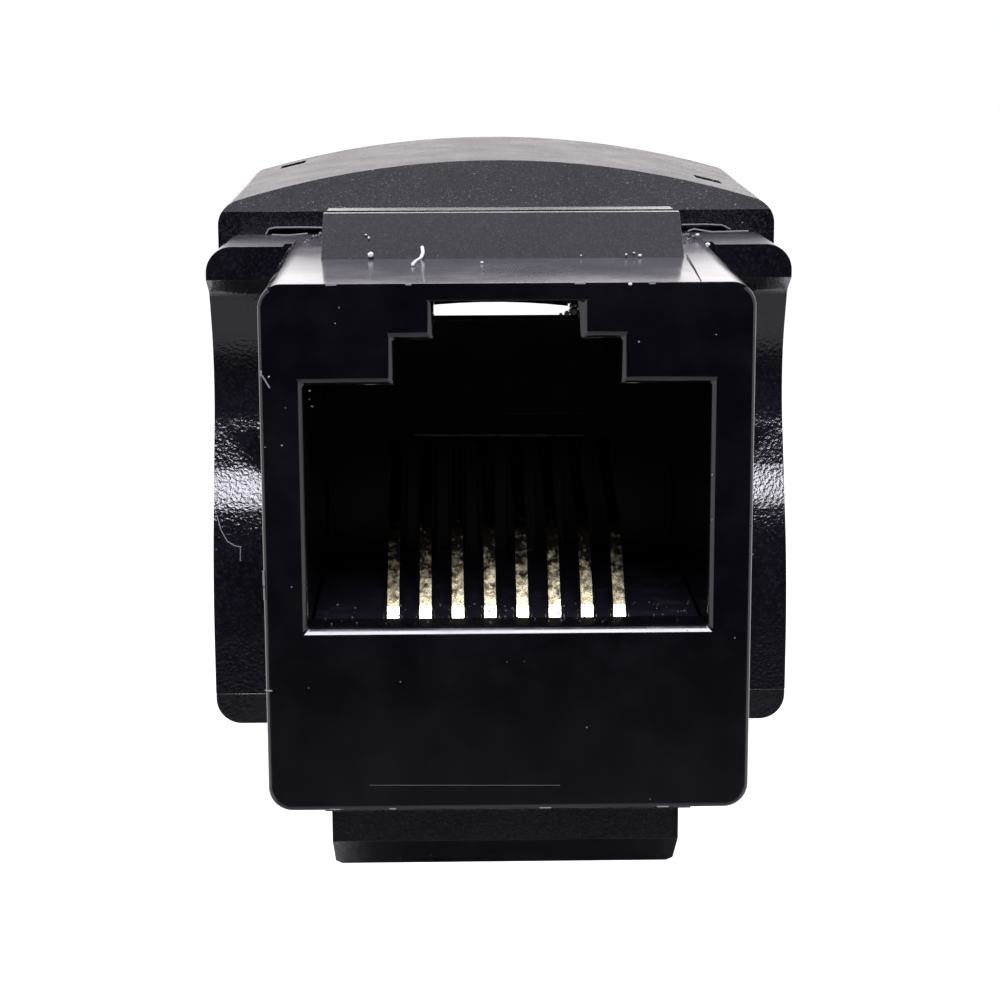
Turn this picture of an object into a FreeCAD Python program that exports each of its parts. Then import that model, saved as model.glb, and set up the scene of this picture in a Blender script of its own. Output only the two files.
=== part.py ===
import FreeCAD, Part
import math
import os
import re
import Sketcher

# Keystone jack, 90-degree punch-down style, in millimetres.
# X runs across the face, Y from the face to the rear and Z up. Every piece is drawn with its
# heights measured from the underside of the nose, and then lowered so that the origin lies in
# the middle of the plug port, in the plane of the front face.
sizes = {
    # nose
    "nose_width": 14.8,
    "nose_height": 16.3,
    "nose_rise": 0.5,
    "nose_corner": 0.75,
    "face_edge": 0.18,
    "nose_floor": 1.2,
    "bay_front": 1.25,
    # plug port in the face: cavity, step for the plug's shoulder and slot for its latch
    "port_centre": 9.53,
    "port_width": 12.14,
    "port_floor": 5.81,
    "port_roof": 13.245,
    "step_width": 6.73,
    "step_roof": 14.61,
    "slot_width": 4.375,
    "slot_roof": 15.76,
    "port_lead": 0.2,
    "face_wall": 1.5,
    # fixed lug on top of the nose
    "lug_width": 11.65,
    "lug_start": 6.2,
    "lug_crest": 8.0,
    "lug_height": 1.2,
    "crest_land": 0.4,
    "panel_groove": 1.8,
    "stop_length": 1.2,
    "stop_height": 0.85,
    # springy latch under the nose
    "latch_width": 11.45,
    "latch_root": 1.0,
    "latch_root_length": 1.9,
    "hook_front": 4.9,
    "hook_top": 1.62,
    "hook_ramp_top": 2.73,
    "hook_crest": 6.9,
    "hook_catch": 8.2,
    "crest_drop": 4.22,
    "groove_drop": 2.7,
    "latch_gap": 1.5,
    "latch_stop_drop": 3.4,
    "thumb_length": 5.0,
    "thumb_drop": 3.3,
    "thumb_gap": 2.3,
    "hook_chamfer": 0.2,
    # rear block
    "block_width": 20.25,
    "block_front": 11.45,
    "block_rear": 30.0,
    "block_wall": 1.2,
    "nose_seat": 1.55,
    "deck_front": 16.6,
    "ear_front": 11.9,
    "ear_height": 1.15,
    "ear_corner": 0.9,
    "flank_kink": 4.6,
    "flank_waist": 13.75,
    "waist_bottom": 10.6,
    "waist_top": 12.6,
    "scoop_front": 12.9,
    "scoop_top": 14.6,
    "flank_round": 12.0,
    "scoop_round": 4.5,
    "throat_round": 0.5,
    "deck_plate": 1.2,
    "trough_width": 8.6,
    "trough_floor": 6.6,
    "cable_width": 6.6,
    # bottom cover and circuit board
    "cover_drop": 0.62,
    "seam_height": 0.5,
    "cover_corner": 0.9,
    "side_wall": 0.825,
    "board_base": 2.0,
    "board_thick": 1.6,
    "board_gap": 0.3,
    "board_head": 0.1,
    "rim_wall": 0.8,
    "wire_bay_roof": 5.1,
    # punch-down contacts and their towers
    "row_inset": 2.825,
    "row_first": 18.5,
    "row_spacing": 3.0,
    "row_count": 4,
    "wire_slot": 0.9,
    "wire_slot_floor": 11.0,
    "wire_lead": 0.5,
    "blade_width": 2.3,
    "blade_thick": 0.5,
    "blade_top": 15.4,
    "blade_shoulder": 4.0,
    "fork_gap": 0.35,
    "fork_floor": 9.5,
    "fork_mouth": 0.9,
    "pin_width": 0.6,
    "pin_end": 1.3,
    "pin_hole": 0.9,
    "pin_clear": 1.0,
    # spring contacts and their carrier
    "contact_count": 8,
    "contact_pitch": 1.016,
    "contact_width": 0.37,
    "contact_thick": 0.3,
    "contact_run": 4.6,
    "contact_front": 2.5,
    "contact_foot": 5.62,
    "knee_depth": 5.3,
    "knee_height": 8.0,
    "contact_tip": 12.1,
    "contact_tip_height": 9.2,
    "contact_bend": 0.45,
    "knee_bend": 1.5,
    "pin_row": 14.4,
    "pin_row_step": 1.5,
    "carrier_top": 5.6,
    "carrier_base": 3.3,
    "carrier_rail": 1.2,
    "comb_front": 11.6,
    "comb_top": 13.75,
    "comb_slot": 0.56,
    "comb_slot_depth": 1.0,
    "comb_roof": 9.55,
    "carrier_notch": 1.75,
    "comb_window_width": 5.9,
    "comb_window_height": 0.9,
    "comb_window_depth": 0.5,
    # arched cap
    "cap_brow": 0.83,
    "cap_crest": 18.8,
    "cap_rise": 0.35,
    "cap_radius": 35.0,
    "cap_corner": 0.9,
    "cap_wall": 1.2,
    "cap_side": 2.1,
    "cap_hollow_front": 18.4,
    "cap_relief": 0.22,
    "relief_inset": 1.74,
    "relief_round": 0.2,
    "window_width": 1.0,
    "window_length": 1.3,
    "window_floor": 16.85,
    "window_inset": 2.02,
    "left_window": 28.1,
    "right_window": 20.68,
    "stuffer_width": 0.7,
    "stuffer_drop": 3.7,
    "stuffer_root": 0.7,
    "stuffer_inner": 2.1,
    "stuffer_outer": 2.5,
    "tongue_drop": 3.94,
    "tongue_radius": 28.0,
    # fits
    "seat_gap": 0.05,
    "blade_gap": 0.03,
    "cap_gap": 0.1,
    "overcut": 1.0,
}

doc = FreeCAD.newDocument("keystone_jack")
sheet = doc.addObject("Spreadsheet::Sheet", "Dimensions")
for row, (alias, value) in enumerate(sizes.items(), start=1):
    sheet.set("A%d" % row, alias)
    sheet.set("B%d" % row, str(value))
    sheet.setAlias("B%d" % row, alias)
doc.recompute()
pieces = []
row_place = "(block_width / 2 - row_inset)"


def bound(formula):
    """Point each size named in a formula at its cell of the sheet."""
    def cell(word):
        name = word.group()
        return "Dimensions." + name if name in sizes else name
    return re.sub(r"[a-z][a-z_]*", cell, formula)


def new_piece(name):
    """Start a body that is lowered from the nose's underside to the port's middle."""
    body = doc.addObject("PartDesign::Body", name)
    body.Label = name
    body.setExpression("Placement.Base.z", bound("-port_centre"))
    pieces.append(body)
    return body


def origin_feature(body, role):
    return [part for part in body.Origin.OriginFeatures if part.Role == role][0]


def new_sketch(body, role, offset="0"):
    """Sketch on an origin plane. An XZ sketch is offset towards the rear, the others along + axis."""
    sketch = body.newObject("Sketcher::SketchObject", "Sketch")
    sketch.AttachmentSupport = (origin_feature(body, role), "")
    sketch.MapMode = "FlatFace"
    sign = "-" if role == "XZ_Plane" else ""
    sketch.setExpression("AttachmentOffset.Base.z", bound("%s(%s)" % (sign, offset)))
    return sketch


def pin_point(sketch, index, end, start, across, up):
    """Tie a point of a sketch to two formulas."""
    for kind, value, formula in (("DistanceX", start.x, across), ("DistanceY", start.y, up)):
        number = sketch.addConstraint(Sketcher.Constraint(kind, -1, 1, index, end, value))
        sketch.setExpression("Constraints[%d]" % number, bound(formula))


def add_outline(sketch, corners):
    """Closed straight-sided outline whose corners are pairs of formulas."""
    first = sketch.GeometryCount
    count = len(corners)
    ring = [FreeCAD.Vector(math.cos(2 * math.pi * k / count), math.sin(2 * math.pi * k / count), 0)
            for k in range(count)]
    for k in range(count):
        sketch.addGeometry(Part.LineSegment(ring[k], ring[(k + 1) % count]))
    for k in range(count):
        sketch.addConstraint(Sketcher.Constraint("Coincident", first + k, 2, first + (k + 1) % count, 1))
    for k, (across, up) in enumerate(corners):
        pin_point(sketch, first + k, 1, ring[k], across, up)


def add_rectangle(sketch, left, right, low, high):
    add_outline(sketch, [(left, low), (right, low), (right, high), (left, high)])


def add_circle(sketch, across, up, diameter):
    index = sketch.addGeometry(Part.Circle(FreeCAD.Vector(0, 0, 0), FreeCAD.Vector(0, 0, 1), 1))
    pin_point(sketch, index, 3, FreeCAD.Vector(0, 0, 0), across, up)
    number = sketch.addConstraint(Sketcher.Constraint("Diameter", index, 2))
    sketch.setExpression("Constraints[%d]" % number, bound(diameter))


def add_arch(sketch, half_width, base, crest, radius):
    """Straight base and sides under one arc that is centred on the middle plane."""
    left = FreeCAD.Vector(-1, 0, 0)
    right = FreeCAD.Vector(1, 0, 0)
    shoulder = FreeCAD.Vector(1, 1, 0)
    bottom = sketch.addGeometry(Part.LineSegment(left, right))
    side = sketch.addGeometry(Part.LineSegment(right, shoulder))
    circle = Part.Circle(FreeCAD.Vector(0, 0, 0), FreeCAD.Vector(0, 0, 1), shoulder.Length)
    arc = sketch.addGeometry(Part.ArcOfCircle(circle, math.pi / 4, math.pi - math.pi / 4))
    other = sketch.addGeometry(Part.LineSegment(FreeCAD.Vector(-1, 1, 0), left))
    for first, second in ((bottom, side), (side, arc), (arc, other), (other, bottom)):
        sketch.addConstraint(Sketcher.Constraint("Coincident", first, 2, second, 1))
    sketch.addConstraint(Sketcher.Constraint("Vertical", side))
    sketch.addConstraint(Sketcher.Constraint("Vertical", other))
    pin_point(sketch, bottom, 1, left, "-(%s)" % half_width, base)
    pin_point(sketch, bottom, 2, right, half_width, base)
    number = sketch.addConstraint(Sketcher.Constraint("Radius", arc, shoulder.Length))
    sketch.setExpression("Constraints[%d]" % number, bound(radius))
    pin_point(sketch, arc, 3, FreeCAD.Vector(0, 0, 0), "0", "%s - (%s)" % (crest, radius))


def pad(body, sketch, length, symmetric=False, reverse=False):
    feature = body.newObject("PartDesign::Pad", "Pad")
    feature.Profile = sketch
    feature.SideType = "Symmetric" if symmetric else "One side"
    feature.Reversed = reverse
    feature.setExpression("Length", bound(length))
    doc.recompute()
    return feature


def pocket(body, sketch, length, symmetric=False, reverse=False):
    """Cut a sketch out of the body, and stop if nothing was cut."""
    before = body.Shape.Volume
    feature = body.newObject("PartDesign::Pocket", "Pocket")
    feature.Profile = sketch
    feature.SideType = "Symmetric" if symmetric else "One side"
    feature.Reversed = reverse
    feature.setExpression("Length", bound(length))
    doc.recompute()
    check_cut(body, before)
    return feature


def check_cut(body, before):
    if body.Shape.Volume >= before:
        raise RuntimeError("a pocket of %s cuts nothing" % body.Label)


def loft(body, kind, first, second):
    feature = body.newObject("PartDesign::" + kind, kind)
    feature.Profile = first
    feature.Sections = [second]
    feature.Ruled = True
    doc.recompute()
    return feature


def repeat(body, originals, role, spacing, count):
    """Row of copies of some features along an origin axis."""
    pattern = body.newObject("PartDesign::LinearPattern", "LinearPattern")
    pattern.Originals = originals
    pattern.Direction = (origin_feature(body, role), [""])
    pattern.Mode = "Spacing"
    pattern.setExpression("Offset", bound(spacing))
    pattern.setExpression("Occurrences", bound(count))
    body.Tip = pattern
    doc.recompute()
    return pattern


def dress(body, kind, size, wanted):
    """Fillet or Chamfer every edge of the body's last feature that wanted() accepts."""
    base = body.Tip
    names = ["Edge%d" % (k + 1) for k, edge in enumerate(base.Shape.Edges) if wanted(edge)]
    if not names:
        raise RuntimeError("no edge of %s to dress" % body.Label)
    feature = body.newObject("PartDesign::" + kind, kind)
    feature.Base = (base, names)
    feature.setExpression("Radius" if kind == "Fillet" else "Size", bound(size))
    doc.recompute()
    return feature


def same(first, second):
    return abs(first - second) < 1e-4


def runs_along(edge, axis):
    """True for a straight edge along axis x, y or z."""
    box = edge.BoundBox
    spans = {"x": box.XLength, "y": box.YLength, "z": box.ZLength}
    return spans[axis] > 1e-3 and all(spans[other] < 1e-4 for other in spans if other != axis)


def port_outline(sketch):
    """Stepped plug outline: cavity, shoulder step and latch slot."""
    right = [
        ("port_width / 2", "port_floor"),
        ("port_width / 2", "port_roof"),
        ("step_width / 2", "port_roof"),
        ("step_width / 2", "step_roof"),
        ("slot_width / 2", "step_roof"),
        ("slot_width / 2", "slot_roof"),
    ]
    left = [("-" + across, up) for across, up in reversed(right)]
    add_outline(sketch, right + left)


def make_jack_housing():
    """Nose with the plug port, the fixed lug and the springy latch, in one moulding."""
    body = new_piece("jack_housing")
    end = "block_front + nose_seat"
    rear = sizes["block_front"] + sizes["nose_seat"]

    shell = new_sketch(body, "YZ_Plane")
    add_outline(shell, [
        ("0", "0"),
        (end, "0"),
        (end, "nose_height + nose_rise"),
        ("0", "nose_height"),
    ])
    pad(body, shell, "nose_width", symmetric=True)
    dress(body, "Fillet", "nose_corner",
          lambda edge: same(abs(edge.CenterOfMass.x), sizes["nose_width"] / 2)
          and same(edge.BoundBox.YLength, rear))
    dress(body, "Fillet", "face_edge", lambda edge: same(edge.BoundBox.YMax, 0))

    lug_top = "nose_height + lug_height + nose_rise * lug_start / (%s)" % end
    lug = new_sketch(body, "YZ_Plane")
    add_outline(lug, [
        ("lug_start", "nose_height - nose_corner"),
        ("lug_start", "nose_height + nose_rise * lug_start / (%s)" % end),
        ("lug_crest", lug_top),
        ("lug_crest + crest_land", lug_top),
        ("lug_crest + crest_land", "nose_height - nose_corner"),
    ])
    pad(body, lug, "lug_width", symmetric=True)
    stop = new_sketch(body, "YZ_Plane")
    add_rectangle(stop, "lug_crest + crest_land + panel_groove",
                  "lug_crest + crest_land + panel_groove + stop_length",
                  "nose_height - nose_corner", "nose_height + nose_rise + stop_height")
    pad(body, stop, "lug_width", symmetric=True)

    latch = new_sketch(body, "YZ_Plane")
    add_outline(latch, [
        ("latch_root", "nose_floor / 2"),
        ("latch_root", "-latch_root * hook_top / hook_front"),
        ("hook_front", "-hook_top"),
        ("hook_front", "-hook_ramp_top"),
        ("hook_crest", "-crest_drop"),
        ("hook_catch", "-crest_drop"),
        ("hook_catch", "-groove_drop"),
        ("hook_catch + panel_groove", "-groove_drop"),
        ("hook_catch + panel_groove", "-latch_stop_drop"),
        ("hook_catch + panel_groove + stop_length", "-latch_stop_drop"),
        ("hook_catch + panel_groove + stop_length + thumb_length", "-thumb_drop"),
        ("hook_catch + panel_groove + stop_length + thumb_length", "-thumb_gap"),
        ("hook_crest", "-latch_gap"),
        ("latch_root + latch_root_length", "0"),
        ("latch_root + latch_root_length", "nose_floor / 2"),
    ])
    pad(body, latch, "latch_width", symmetric=True)
    dress(body, "Chamfer", "hook_chamfer",
          lambda edge: same(edge.CenterOfMass.z, -sizes["crest_drop"])
          and same(abs(edge.CenterOfMass.x), sizes["latch_width"] / 2))

    port = new_sketch(body, "XZ_Plane")
    port_outline(port)
    pocket(body, port, end)
    dress(body, "Chamfer", "port_lead", port_rim_edge)
    bay = new_sketch(body, "XZ_Plane", "bay_front")
    add_rectangle(bay, "-port_width / 2", "port_width / 2", "nose_floor", "port_floor + overcut")
    pocket(body, bay, end)
    channel = new_sketch(body, "XZ_Plane", "face_wall")
    add_rectangle(channel, "-step_width / 2", "step_width / 2", "port_roof - overcut", "slot_roof")
    pocket(body, channel, end)


def port_rim_edge(edge):
    """True for the port's edges in the face, apart from the roof of the latch slot."""
    box = edge.BoundBox
    inside = abs(edge.CenterOfMass.x) < sizes["port_width"] / 2 + 1e-3
    below_roof = edge.CenterOfMass.z < sizes["slot_roof"] - 1e-3
    above_floor = edge.CenterOfMass.z > sizes["port_floor"] - 1e-3
    return same(box.YMax, 0) and inside and below_roof and above_floor


def make_terminal_block():
    """Wide rear block: ears, scooped flanks, cable trough and two rows of punch-down towers."""
    body = new_piece("terminal_block")
    nose_end = "block_front + nose_seat"

    front = new_sketch(body, "YZ_Plane")
    add_outline(front, [
        ("block_front", "seam_height"),
        ("block_front", "flank_kink"),
        ("flank_waist", "waist_bottom"),
        ("flank_waist", "waist_top"),
        ("scoop_front", "scoop_top"),
        ("ear_front", "nose_height - ear_height"),
        ("ear_front", "nose_height"),
        ("deck_front", "nose_height"),
        ("deck_front", "seam_height"),
    ])
    pad(body, front, "block_width", symmetric=True)
    for size, depth, height in (
        ("flank_round", "block_front", "flank_kink"),
        ("scoop_round", "flank_waist", "waist_bottom"),
        ("scoop_round", "flank_waist", "waist_top"),
        ("throat_round", "scoop_front", "scoop_top"),
    ):
        dress(body, "Fillet", size, lambda edge: runs_along(edge, "x")
              and same(edge.CenterOfMass.y, sizes[depth])
              and same(edge.CenterOfMass.z, sizes[height]))
    dress(body, "Fillet", "ear_corner",
          lambda edge: runs_along(edge, "y") and same(edge.CenterOfMass.z, sizes["nose_height"]))
    rear = new_sketch(body, "YZ_Plane")
    add_rectangle(rear, "deck_front", "block_rear", "seam_height", "nose_height")
    pad(body, rear, "block_width", symmetric=True)

    seat = new_sketch(body, "XY_Plane", "nose_height")
    add_rectangle(seat, "-nose_width / 2 - seat_gap", "nose_width / 2 + seat_gap",
                  "block_front - overcut", nose_end)
    pocket(body, seat, "nose_height")
    bay = new_sketch(body, "XY_Plane", "seam_height")
    add_rectangle(bay, "side_wall - block_width / 2", "block_width / 2 - side_wall",
                  nose_end, "block_rear - block_wall")
    pocket(body, bay, "board_base + board_thick + board_head - seam_height", reverse=True)
    wire_bay = new_sketch(body, "XY_Plane", "seam_height")
    add_rectangle(wire_bay, "-port_width / 2", "port_width / 2", nose_end, "pin_row + pin_row_step + pin_clear")
    pocket(body, wire_bay, "wire_bay_roof - seam_height", reverse=True)

    tunnel = new_sketch(body, "XZ_Plane", nose_end)
    add_rectangle(tunnel, "-cable_width / 2", "cable_width / 2", "trough_floor", "nose_height - deck_plate")
    pocket(body, tunnel, "block_rear - (%s)" % nose_end)
    trough = new_sketch(body, "XY_Plane", "nose_height")
    add_rectangle(trough, "-trough_width / 2", "trough_width / 2",
                  "deck_front + deck_plate", "block_rear - block_wall")
    pocket(body, trough, "nose_height - trough_floor")
    exit_cut = new_sketch(body, "XY_Plane", "nose_height")
    add_rectangle(exit_cut, "-cable_width / 2", "cable_width / 2", "block_rear - block_wall - overcut", "block_rear")
    pocket(body, exit_cut, "nose_height - trough_floor")

    slot = new_sketch(body, "YZ_Plane")
    add_outline(slot, [
        ("row_first - wire_slot / 2", "wire_slot_floor"),
        ("row_first + wire_slot / 2", "wire_slot_floor"),
        ("row_first + wire_slot / 2", "nose_height - wire_lead"),
        ("row_first + wire_slot / 2 + wire_lead / 2", "nose_height"),
        ("row_first - wire_slot / 2 - wire_lead / 2", "nose_height"),
        ("row_first - wire_slot / 2", "nose_height - wire_lead"),
    ])
    slots = pocket(body, slot, "block_width", symmetric=True)
    blade = new_sketch(body, "XY_Plane", "nose_height")
    for side in ("-", ""):
        add_rectangle(blade, side + row_place + " - blade_thick / 2 - blade_gap",
                      side + row_place + " + blade_thick / 2 + blade_gap",
                      "row_first - blade_width / 2 - blade_gap",
                      "row_first + blade_width / 2 + blade_gap")
    blades = pocket(body, blade, "nose_height - board_base - board_thick")
    repeat(body, [slots, blades], "Y_Axis", "row_spacing", "row_count")


def make_bottom_cover():
    """Tray that closes the rear block from below, with a rim that carries the board."""
    body = new_piece("bottom_cover")
    nose_end = "block_front + nose_seat"
    plate = new_sketch(body, "XY_Plane", "-cover_drop")
    add_rectangle(plate, "-block_width / 2", "block_width / 2", "block_front", "block_rear")
    pad(body, plate, "seam_height + cover_drop")
    dress(body, "Fillet", "cover_corner",
          lambda edge: runs_along(edge, "y") and same(edge.CenterOfMass.z, -sizes["cover_drop"]))
    notch = new_sketch(body, "XY_Plane", "seam_height")
    add_rectangle(notch, "-nose_width / 2 - seat_gap", "nose_width / 2 + seat_gap",
                  "block_front - overcut", nose_end)
    pocket(body, notch, "seam_height + cover_drop")
    rim = new_sketch(body, "XY_Plane", "seam_height")
    side = "block_width / 2 - side_wall - seat_gap"
    add_rectangle(rim, "-(%s)" % side, side, nose_end + " + seat_gap", "block_rear - block_wall - seat_gap")
    add_rectangle(rim, "-(%s - rim_wall)" % side, side + " - rim_wall",
                  nose_end + " + seat_gap + rim_wall", "block_rear - block_wall - seat_gap - rim_wall")
    pad(body, rim, "board_base - seam_height")


def make_circuit_board():
    """Board that joins the spring contacts to the punch-down contacts."""
    body = new_piece("circuit_board")
    board = new_sketch(body, "XY_Plane", "board_base")
    side = "block_width / 2 - side_wall - board_gap"
    add_rectangle(board, "-(%s)" % side, side,
                  "block_front + nose_seat + board_gap", "block_rear - block_wall - board_gap")
    pad(body, board, "board_thick")
    holes = new_sketch(body, "XY_Plane", "board_base + board_thick")
    for k in range(sizes["contact_count"]):
        add_circle(holes, contact_place(k), pin_depth(k), "pin_hole")
    for side in ("-", ""):
        for k in range(sizes["row_count"]):
            add_circle(holes, side + row_place, "row_first + %d * row_spacing" % k, "pin_hole")
    pocket(body, holes, "board_thick")


def contact_place(k):
    """X of a spring contact, counted from the left."""
    return "(%d - (contact_count - 1) / 2) * contact_pitch" % k


def pin_depth(k):
    """Y of a spring contact's pin: every second pin stands one step further back."""
    return "pin_row + %d * pin_row_step" % (k % 2)


def make_contact_carrier():
    """Insert that guides the spring contacts, with a comb wall behind the plug cavity."""
    body = new_piece("contact_carrier")
    front = "bay_front + seat_gap"
    rear = "block_front + nose_seat - seat_gap"
    profile = new_sketch(body, "YZ_Plane")
    add_outline(profile, [
        (front, "carrier_base"),
        (rear, "carrier_base"),
        (rear, "port_roof - seat_gap"),
        ("comb_front", "port_roof - seat_gap"),
        ("comb_front", "carrier_top"),
        (front, "carrier_top"),
    ])
    pad(body, profile, "port_width - 2 * seat_gap", symmetric=True)
    crown = new_sketch(body, "YZ_Plane")
    add_rectangle(crown, "comb_front", rear, "port_roof - overcut", "comb_top")
    pad(body, crown, "step_width - 2 * seat_gap", symmetric=True)
    rails = new_sketch(body, "XZ_Plane", front)
    add_rectangle(rails, "-port_width / 2 + seat_gap", "-port_width / 2 + seat_gap + carrier_rail",
                  "nose_floor", "carrier_base")
    add_rectangle(rails, "port_width / 2 - seat_gap - carrier_rail", "port_width / 2 - seat_gap",
                  "nose_floor", "carrier_base")
    pad(body, rails, "block_front + nose_seat - bay_front - 2 * seat_gap", reverse=True)

    window = new_sketch(body, "XZ_Plane", "comb_front")
    add_rectangle(window, "-comb_window_width / 2", "comb_window_width / 2",
                  "comb_roof", "comb_roof + comb_window_height")
    pocket(body, window, "comb_window_depth")
    first = contact_place(0)
    channel = new_sketch(body, "XZ_Plane", front)
    add_rectangle(channel, first + " - comb_slot / 2", first + " + comb_slot / 2",
                  "carrier_base", "contact_run + contact_thick / 2")
    channels = pocket(body, channel, "block_front + nose_seat")
    notch = new_sketch(body, "XZ_Plane", front)
    add_rectangle(notch, first + " - comb_slot / 2", first + " + comb_slot / 2",
                  "carrier_base", "carrier_top")
    notches = pocket(body, notch, "carrier_notch")
    comb = new_sketch(body, "XZ_Plane", "comb_front")
    add_rectangle(comb, first + " - comb_slot / 2", first + " + comb_slot / 2", "carrier_top", "comb_roof")
    combs = pocket(body, comb, "comb_slot_depth")
    repeat(body, [channels, notches, combs], "X_Axis", "contact_pitch", "contact_count")


def make_idc_contact(number, side, place):
    """Forked blade that bites through a wire's insulation, with a pin for the board."""
    body = new_piece("idc_contact_%d" % number)
    body.setExpression("Placement.Base.x", bound(side + row_place))
    body.setExpression("Placement.Base.y", bound("row_first + %d * row_spacing" % place))
    fork = new_sketch(body, "YZ_Plane")
    right = [
        ("pin_width / 2", "pin_end"),
        ("pin_width / 2", "blade_shoulder"),
        ("blade_width / 2", "blade_shoulder"),
        ("blade_width / 2", "blade_top"),
        ("fork_mouth / 2", "blade_top"),
        ("fork_gap / 2", "blade_top - fork_mouth"),
        ("fork_gap / 2", "fork_floor"),
    ]
    left = [("-" + across, up) for across, up in reversed(right)]
    add_outline(fork, right + left)
    pad(body, fork, "blade_thick", symmetric=True)


def make_dust_cap():
    """Arched cap over the towers: stuffer ribs, two windows and a tongue over the cable exit."""
    body = new_piece("dust_cap")
    first = new_sketch(body, "XZ_Plane", "deck_front")
    add_arch(first, "block_width / 2", "nose_height", "cap_crest", "cap_radius")
    last = new_sketch(body, "XZ_Plane", "block_rear")
    add_arch(last, "block_width / 2", "nose_height", "cap_crest + cap_rise", "cap_radius")
    loft(body, "AdditiveLoft", first, last)
    brow = new_sketch(body, "YZ_Plane")
    reach = "(cap_crest + cap_rise - nose_height)"
    add_outline(brow, [
        ("deck_front - cap_brow", "nose_height"),
        ("deck_front - cap_brow + 2 * %s" % reach, "nose_height + 2 * %s" % reach),
        ("deck_front - cap_brow", "nose_height + 2 * %s" % reach),
    ])
    pocket(body, brow, "block_width", symmetric=True)
    half = sizes["block_width"] / 2
    dress(body, "Fillet", "cap_corner",
          lambda edge: same(abs(edge.Vertexes[0].X), half) and same(edge.Vertexes[0].X, edge.Vertexes[-1].X)
          and edge.BoundBox.ZMin > sizes["nose_height"] + 0.1 and edge.BoundBox.YLength > sizes["cap_brow"] * 2)

    inner_first = new_sketch(body, "XZ_Plane", "cap_hollow_front")
    add_arch(inner_first, "block_width / 2 - cap_side", "nose_height", "cap_crest - cap_wall", "cap_radius - cap_wall")
    inner_last = new_sketch(body, "XZ_Plane", "block_rear - cap_wall")
    add_arch(inner_last, "block_width / 2 - cap_side", "nose_height", "cap_crest + cap_rise - cap_wall",
             "cap_radius - cap_wall")
    before = body.Shape.Volume
    loft(body, "SubtractiveLoft", inner_first, inner_last)
    check_cut(body, before)

    relief = new_sketch(body, "XZ_Plane", "deck_front")
    add_rectangle(relief, "relief_inset - block_width / 2", "block_width / 2 - relief_inset",
                  "nose_height", "nose_height + cap_relief")
    pocket(body, relief, "cap_wall")
    dress(body, "Fillet", "relief_round",
          lambda edge: runs_along(edge, "y")
          and same(edge.CenterOfMass.z, sizes["nose_height"] + sizes["cap_relief"]))
    windows = new_sketch(body, "XY_Plane", "cap_crest + cap_rise")
    for place, depth in (("window_inset - block_width / 2", "left_window"),
                         ("block_width / 2 - window_inset", "right_window")):
        add_rectangle(windows, place + " - window_width / 2", place + " + window_width / 2",
                      depth + " - window_length / 2", depth + " + window_length / 2")
    pocket(body, windows, "cap_crest + cap_rise - window_floor")

    ribs = []
    for offset in ("-%s - stuffer_outer" % row_place, "%s - stuffer_inner" % row_place):
        rib = new_sketch(body, "YZ_Plane", offset)
        add_rectangle(rib, "row_first - stuffer_width / 2", "row_first + stuffer_width / 2",
                      "nose_height - stuffer_drop", "nose_height + stuffer_root")
        ribs.append(pad(body, rib, "stuffer_inner + stuffer_outer"))
    repeat(body, ribs, "Y_Axis", "row_spacing", "row_count")
    gap = new_sketch(body, "XZ_Plane", "deck_front")
    for side in ("-", ""):
        add_rectangle(gap, side + row_place + " - blade_thick / 2 - 2 * cap_gap",
                      side + row_place + " + blade_thick / 2 + 2 * cap_gap",
                      "nose_height - stuffer_drop", "blade_top + 2 * cap_gap")
    pocket(body, gap, "block_rear - deck_front")

    tongue = new_sketch(body, "XZ_Plane", "block_rear - cap_wall")
    add_rectangle(tongue, "-cable_width / 2 + cap_gap", "cable_width / 2 - cap_gap",
                  "nose_height - tongue_drop - cap_gap * 3", "nose_height + cap_gap")
    pad(body, tongue, "cap_wall", reverse=True)
    saddle = new_sketch(body, "XZ_Plane", "block_rear - cap_wall")
    add_circle(saddle, "0", "nose_height - tongue_drop - tongue_radius", "2 * tongue_radius")
    pocket(body, saddle, "cap_wall")


def bent_strip(corners, radii, thick):
    """Flat YZ face of a bent strip: straight runs and arcs about one centre line."""
    points = [FreeCAD.Vector(0, y, z) for y, z in corners]
    runs = [(b - a).normalize() for a, b in zip(points, points[1:])]
    sides = []
    for sign in (1, -1):
        def beside(run):
            return FreeCAD.Vector(0, -run.z, run.y) * sign * thick / 2
        edge_points = [points[0] + beside(runs[0])]
        for k in range(1, len(points) - 1):
            mitre = beside(runs[k - 1]) + beside(runs[k])
            edge_points.append(points[k] + mitre * (thick / 2) ** 2 * 2 / mitre.dot(mitre))
        edge_points.append(points[-1] + beside(runs[-1]))
        turns = [runs[k - 1].cross(runs[k]).x for k in range(1, len(points) - 1)]
        side_radii = [radius - sign * math.copysign(thick / 2, turn) for radius, turn in zip(radii, turns)]
        sides.append(rounded_run(edge_points, side_radii))
    outer, inner = sides
    start = Part.LineSegment(outer[0].firstVertex().Point, inner[0].firstVertex().Point).toShape()
    end = Part.LineSegment(outer[-1].lastVertex().Point, inner[-1].lastVertex().Point).toShape()
    return Part.Face(Part.Wire(Part.sortEdges(outer + inner + [start, end])[0]))


def rounded_run(points, radii):
    """Edges along some points, with an arc of the given radius at each inner point."""
    edges = []
    here = points[0]
    for k, radius in enumerate(radii, start=1):
        back = (points[k - 1] - points[k]).normalize()
        ahead = (points[k + 1] - points[k]).normalize()
        half = back.getAngle(ahead) / 2
        reach = radius / math.tan(half)
        start = points[k] + back * reach
        stop = points[k] + ahead * reach
        middle = points[k] + (back + ahead).normalize() * (radius / math.sin(half) - radius)
        edges.append(Part.LineSegment(here, start).toShape())
        edges.append(Part.Arc(start, middle, stop).toShape())
        here = stop
    edges.append(Part.LineSegment(here, points[-1]).toShape())
    return edges


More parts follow.
